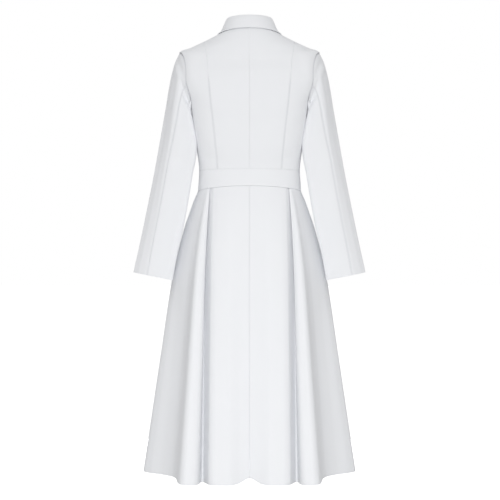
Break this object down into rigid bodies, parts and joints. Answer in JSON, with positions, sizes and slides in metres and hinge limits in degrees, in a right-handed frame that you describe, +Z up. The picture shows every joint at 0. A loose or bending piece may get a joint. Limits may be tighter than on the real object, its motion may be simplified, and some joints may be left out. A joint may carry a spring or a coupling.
{
  "type": "pleated coat dress",
  "caption": "Long-sleeved collared coat dress: fitted panelled bodice, waistband and flared midi skirt with deep knife pleats, shown worn and hollow.",
  "frame": {"origin": "middle of the neck at the height of the shoulder seams' inner ends, where the wearer carries the dress", "axes": "+Z up along the dress; the wearer faces -Y, so +Y is the back of the dress; +X is the wearer's left sleeve"},
  "size_m": [0.6158, 0.4561, 1.2124],
  "materials": {
    "crepe": "matte",
    "button": "satin"
  },
  "bodies": {
    "root": {"bodice_back_left": "crepe", "bodice_side_back_left": "crepe", "bodice_front_left": "crepe", "bodice_side_front_left": "crepe", "bodice_back_right": "crepe", "bodice_side_back_right": "crepe", "bodice_front_right": "crepe", "bodice_side_front_right": "crepe", "waistband_back": "crepe", "waistband_front_left": "crepe", "waistband_front_right": "crepe", "skirt_back_left": "crepe", "skirt_front_left": "crepe", "sleeve_top_left": "crepe", "sleeve_under_left": "crepe", "skirt_back_right": "crepe", "skirt_front_right": "crepe", "sleeve_top_right": "crepe", "sleeve_under_right": "crepe", "collar": "crepe", "button_bodice_1": "button", "button_bodice_2": "button", "button_bodice_3": "button", "button_bodice_4": "button", "button_bodice_5": "button", "button_waist": "button", "button_skirt_1": "button", "button_skirt_2": "button", "button_skirt_3": "button", "button_skirt_4": "button"}
  },
  "joints": []
}
